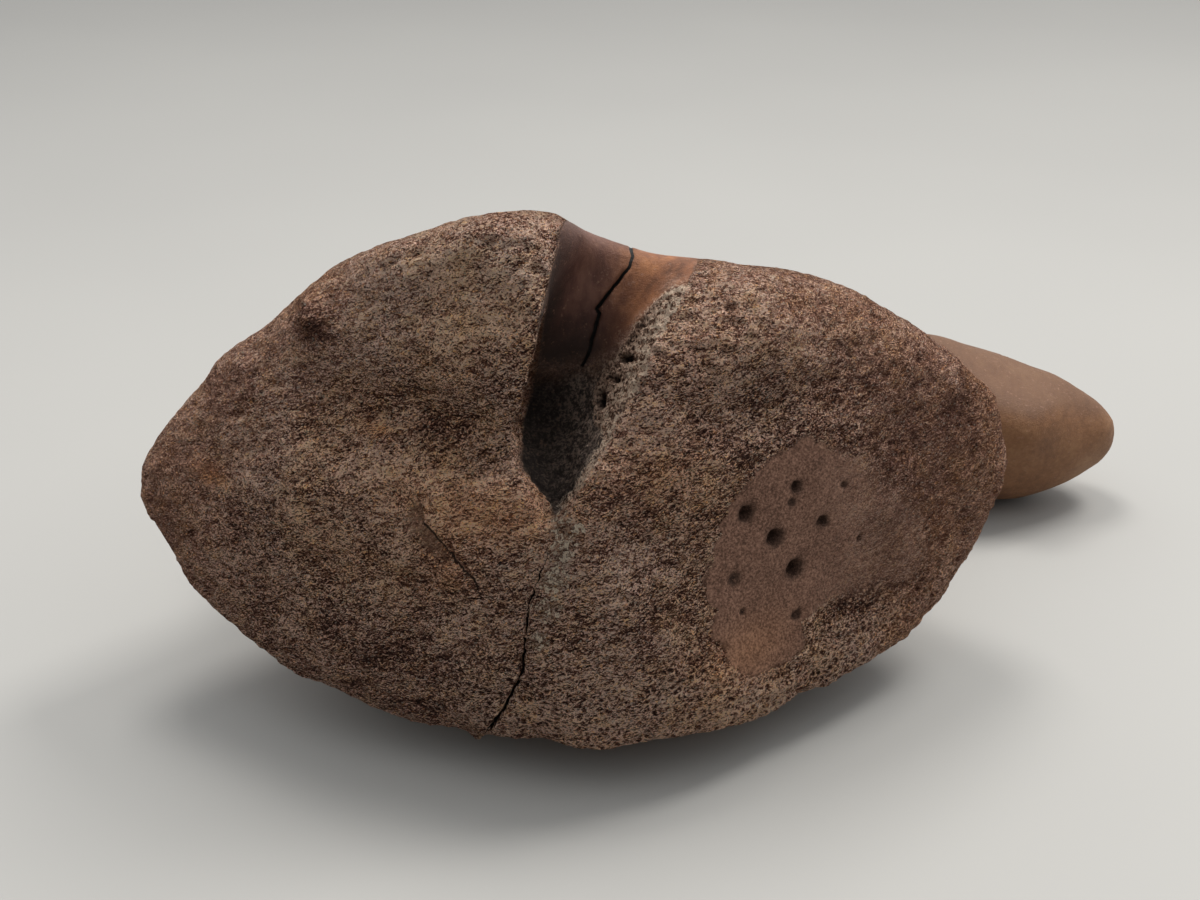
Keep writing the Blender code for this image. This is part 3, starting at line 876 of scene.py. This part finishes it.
def matrix_colours(g):
    """The crumbs' tone, the matrix's colour and the notch floor's. The crumbs are pale along the notch's
    right rim and duller further in. The floor's dark grit is lighter and more crumbly to the right, and
    darkened to the left by painted shade under the overhanging left facet. The cavities are painted
    near black as shade."""
    across = g.attribute("across")
    crumb = g.add((g.noise(g.place(), 0.45, 2, 0.7), 1.7), (g.noise(g.place(), 1.2, 2, 0.6), 1.2))
    pale = g.colours(crumb, (
        (0.34, (0.150, 0.080, 0.054)), (0.46, (0.780, 0.485, 0.335)), (0.59, (1.0, 0.79, 0.61)),
    ))
    dull = g.colours(crumb, (
        (0.3, (0.065, 0.039, 0.029)), (0.46, (0.460, 0.275, 0.192)), (0.66, (0.97, 0.70, 0.53)),
    ))
    grit = g.colours(crumb, (
        (0.3, (0.065, 0.050, 0.043)), (0.5, (0.155, 0.119, 0.100)), (0.75, (0.46, 0.345, 0.275)),
    ))
    # Painted shade: the grit darkens to the left, under the overhanging left facet.
    grit = g.mix(1.0, grit, g.grey(g.ramp(-12, 5, across, 0.45, 2.4)), "MULTIPLY")
    grit = g.mix(g.ramp(-1, -10, across, 0, 0.6), grit, (0.060, 0.048, 0.043))
    webbed = g.product(g.ramp(60, 67, g.attribute("level")), g.ramp(-3.5, 3, across, 0, 0.85))
    inward = g.math("MULTIPLY_ADD", g.noise(g.place(), 2.0, 3), 3.0, g.attribute("matrix_rim"))
    matrix = g.mix(g.ramp(3.0, 4.8, inward), pale, dull)
    # Painted shade: near black in the cavities.
    matrix = g.mix(g.attribute("cavity"), matrix, (0.012, 0.009, 0.008))
    return crumb, matrix, g.mix(webbed, grit, dull)


def patch_share(g):
    """Where the smooth patch is. Its edge is ragged, and fades out to the right."""
    across = g.attribute("across")
    ragged = g.add((g.noise(g.place(), 0.9, 3, 0.65), 3.2), (g.noise(g.place(), 3.0, 3, 0.6), 2.4))
    inward = g.math("ADD", g.attribute("patch"), g.math("SUBTRACT", ragged, 0.5))
    fading = g.ramp(30, 50, across, 0.12, 3.0)
    return g.product(g.ramp(-1, 1, g.math("DIVIDE", inward, fading)), g.ramp(34, 52, across, 1, 0.7))


def outer_shares(g):
    """Where the smooth outer bone is, and how far its colour shows already in the rim before it."""
    near = g.math("SUBTRACT", g.attribute("back"), 4)
    ragged = g.math("MULTIPLY_ADD", g.noise(g.place(), 6, 3), 8, near)
    outside = g.math("SUBTRACT", 1, g.attribute("inside"))
    return g.product(g.ramp(5.0, 7.5, ragged), outside), g.ramp(-1.0, 4.5, ragged, 0, 0.4)


def with_painted_pit_shade(g, colour):
    """The colour with ragged painted shade in and round each pit."""
    ragged = g.ramp(0.25, 0.6, g.noise(g.place(), 0.6, 2, 0.7), 0.6, 1)
    return g.mix(g.product(g.attribute("pit_shade"), ragged, 0.85), colour, (0.030, 0.019, 0.015))


def with_pale_grains(g, colour, crumb):
    """The colour with pale grains, and darker bone between them, beside the cleft."""
    inward = g.attribute("grains")
    chance = g.part(g.voronoi(g.bent(g.place(), 0.8, 0.7), 0.65, output="Color"), 0)
    picked = g.math("LESS_THAN", chance, g.ramp(-1.6, 2.2, inward, 0.0, 0.7))
    grains = g.mix(g.ramp(0.32, 0.54, crumb), (0.31, 0.200, 0.138), (0.98, 0.81, 0.63))
    colour = g.mix(g.ramp(-1.5, 1.0, inward, 0, 0.5), colour, (0.10, 0.065, 0.048))
    return g.mix(g.product(picked, g.ramp(-1.6, -1.2, inward)), colour, grains)


def in_notch(g, colour, crumb, matrix, grit):
    """The colour with the notch's floor and wall laid over it, and the crumbly matrix over them."""
    wall, ragged = g.attribute("wall"), g.math("SUBTRACT", crumb, 0.5)
    floor_share = g.product(g.attribute("inside"), g.math("SUBTRACT", 1, wall))
    crumbly = g.ramp(-0.3, 0.3, g.math("MULTIPLY_ADD", ragged, 1.6, g.attribute("matrix")))
    colour = g.mix(wall, g.mix(floor_share, colour, grit), notch_wall(g))
    return g.mix(crumbly, colour, matrix)


def on_line(g, name, outer, inner):
    """1 on a line whose signed distance has this name, falling to 0 from inner to outer millimetres."""
    return g.ramp(outer, inner, g.math("ABSOLUTE", g.attribute(name)))


def with_marks(g, colour, crumb):
    """The colour with the scratch and its flake scar, and the painted shade of the near-black crack, cleft
    and deep pores.
    """
    scar = g.math("MULTIPLY_ADD", g.math("SUBTRACT", crumb, 0.5), 1.6, g.attribute("scar"))
    colour = g.mix(g.product(g.ramp(0.35, 0.75, scar), 0.65), colour, (0.290, 0.160, 0.108))
    colour = g.mix(g.product(on_line(g, "scratch", 0.38, 0.14), 0.95), colour, (0.05, 0.03, 0.024))
    crack = g.product(on_line(g, "crack", 0.33, 0.22), g.ramp(68.4, 68.9, g.attribute("level")))
    cleft = g.product(on_line(g, "cleft", 0.34, 0.16), g.ramp(0.06, 0.12, g.attribute("down")))
    # Painted shade: the deepest pores are near black.
    deep = g.ramp(-1.6, -2.6, g.attribute("height"))
    return g.mix(g.math("MAXIMUM", crack, g.math("MAXIMUM", cleft, deep)), colour, BLACK)


def bone_material():
    """The bone's material: granular facets, the smooth patch, the outer bone, the notch and the marks."""
    g = Graph("fossil_bone")
    granular, relief = granular_bone(g)
    patch, stipple = smooth_patch(g)
    crumb, matrix, grit = matrix_colours(g)
    outer = outer_bone(g)
    in_patch = patch_share(g)
    in_outer, near_rim = outer_shares(g)

    colour = g.mix(in_patch, g.mix(near_rim, granular, outer), patch)
    colour = g.mix(in_outer, with_painted_pit_shade(g, colour), outer)
    colour = with_pale_grains(g, colour, crumb)
    colour = with_marks(g, in_notch(g, colour, crumb, matrix, grit), crumb)
    g.put(g.shader.inputs["Base Color"], colour)

    satin = g.math("MAXIMUM", in_outer, g.attribute("wall"))
    smooth = g.math("MAXIMUM", in_patch, satin)
    g.put(g.shader.inputs["Roughness"], g.ramp(0, 1, smooth, 0.9, 0.62))
    g.put(g.shader.inputs["Specular IOR Level"], g.ramp(0, 1, satin, 0.06, 0.3))
    rough_bump = g.bump(g.product(relief, g.ramp(0, 1, smooth, 1.0, 0.05)), 1.2)
    g.put(g.shader.inputs["Normal"], g.bump(stipple, 0.1, 0.7, rough_bump))
    return g.material


# --- the bone ----------------------------------------------------------------------------------------------

bone_mesh = dense_form(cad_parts["coracoid"])
wear(bone_mesh)
bone_mesh.materials.clear()
bone_mesh.materials.append(bone_material())
bone_mesh.shade_smooth()
bone = bpy.data.objects.new("fossil_bone", bone_mesh)
bpy.context.scene.collection.objects.link(bone)
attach(bone, "root")
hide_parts("coracoid")


# --- the table, light and camera ---------------------------------------------------------------------------


def floor_material():
    """A plain pale table, with painted fall-off of the light: a little duller far behind the bone, lighter in
    front.
    """
    g = Graph("pale_table")
    tone = g.noise(g.place(), 160, 2, 0.5)
    colour = g.colours(tone, ((0.3, (0.376, 0.370, 0.354)), (0.7, (0.394, 0.388, 0.370))))
    away = g.tree.nodes.new("ShaderNodeSeparateXYZ")
    g.put(away.inputs[0], g.place())
    painted_falloff = g.grey(g.ramp(-300, 900, away.outputs[1], 1.15, 0.56))
    g.put(g.shader.inputs["Base Color"], g.mix(1.0, colour, painted_falloff, "MULTIPLY"))
    g.shader.inputs["Roughness"].default_value = 0.7
    g.shader.inputs["Specular IOR Level"].default_value = 0.2
    return g.material


bpy.ops.mesh.primitive_plane_add(size=6)
floor = bpy.context.object
floor.name = "table"
floor.data.materials.append(floor_material())
floor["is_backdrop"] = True


def area_light(name, place, power):
    """A square, slightly warm softbox, turned towards the bone."""
    light = bpy.data.lights.new(name, "AREA")
    light.shape = "SQUARE"
    light.size = 0.3
    light.energy = power
    light.color = (1.0, 0.975, 0.94)
    lamp = bpy.data.objects.new(name, light)
    lamp.location = in_part_frame(place)
    aim = Vector(in_part_frame((0, 30, 30))) - lamp.location
    lamp.rotation_euler = aim.to_track_quat("-Z", "Y").to_euler()
    bpy.context.scene.collection.objects.link(lamp)


area_light("key", (460, 340, 800), 4.9)
area_light("softbox", (-90, 380, 900), 4.15)


def soft_sky(axis, darkest, brightest):
    """A pale surround that is brightest along the axis, and darkens away from it."""
    world = bpy.data.worlds.new("studio")
    world.use_nodes = True
    tree = world.node_tree
    sky = tree.nodes["Background"]
    direction = tree.nodes.new("ShaderNodeTexCoord")
    along = tree.nodes.new("ShaderNodeVectorMath")
    along.operation = "DOT_PRODUCT"
    along.inputs[1].default_value = Vector(axis).normalized()
    strength = tree.nodes.new("ShaderNodeMapRange")
    tree.links.new(direction.outputs["Generated"], along.inputs[0])
    tree.links.new(along.outputs["Value"], strength.inputs["Value"])
    strength.inputs["From Min"].default_value = -0.3
    strength.inputs["To Min"].default_value = darkest
    strength.inputs["To Max"].default_value = brightest
    tree.links.new(strength.outputs["Result"], sky.inputs["Strength"])
    sky.inputs["Color"].default_value = (0.97, 0.985, 1.0, 1)
    return world


bpy.context.scene.world = soft_sky((0.1, 0.45, 0.88), 0.015, 1.17)

# The camera looks down by PITCH at a point this high over the bone's own origin, from this far away. The
# focal length and the sensor's width are in millimetres too.
PITCH = math.radians(28)
AIM_HEIGHT, DISTANCE = 62, 260
camera_data = bpy.data.cameras.new("camera")
camera_data.lens = 50
camera_data.sensor_width = 36
camera = bpy.data.objects.new("camera", camera_data)
camera.location = in_part_frame((0, -DISTANCE * math.cos(PITCH), AIM_HEIGHT + DISTANCE * math.sin(PITCH)))
camera.rotation_euler = (math.pi / 2 - PITCH, 0, 0)
bpy.context.scene.collection.objects.link(camera)
bpy.context.scene.camera = camera
bpy.context.scene.view_settings.view_transform = "Standard"
